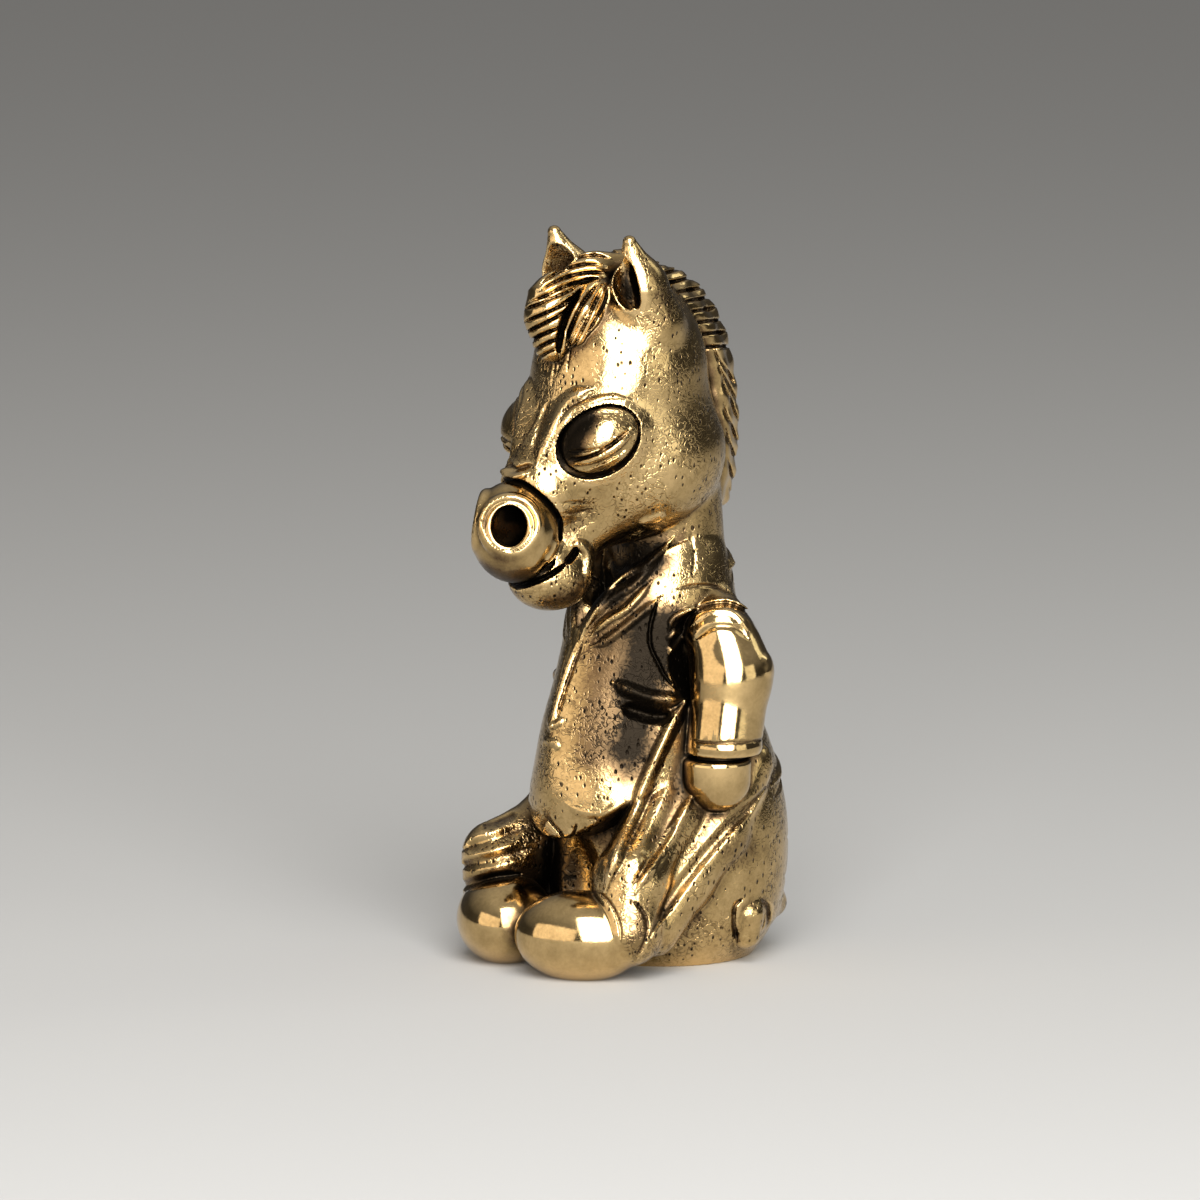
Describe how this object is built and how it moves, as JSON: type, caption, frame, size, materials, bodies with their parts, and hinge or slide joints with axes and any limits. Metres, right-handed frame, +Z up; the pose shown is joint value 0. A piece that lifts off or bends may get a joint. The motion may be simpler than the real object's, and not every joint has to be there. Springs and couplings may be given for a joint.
{
  "type": "brass horse figurine",
  "caption": "Small cast brass figurine of a sleepy foal that sits upright like a person, in a waistcoat and trousers, with its forehooves at its hips.",
  "frame": {"origin": "middle of the bounding box at its lowest level, on the surface the figurine sits on", "axes": "+Z up, the figurine faces -Y, its left side is +X"},
  "size_m": [0.0188, 0.022, 0.045],
  "materials": {
    "brass": "antiqued: polished on the raised places, dark brown to black in the hollows, finely pitted"
  },
  "bodies": {
    "root": {"horse_figurine": "brass"}
  },
  "joints": []
}
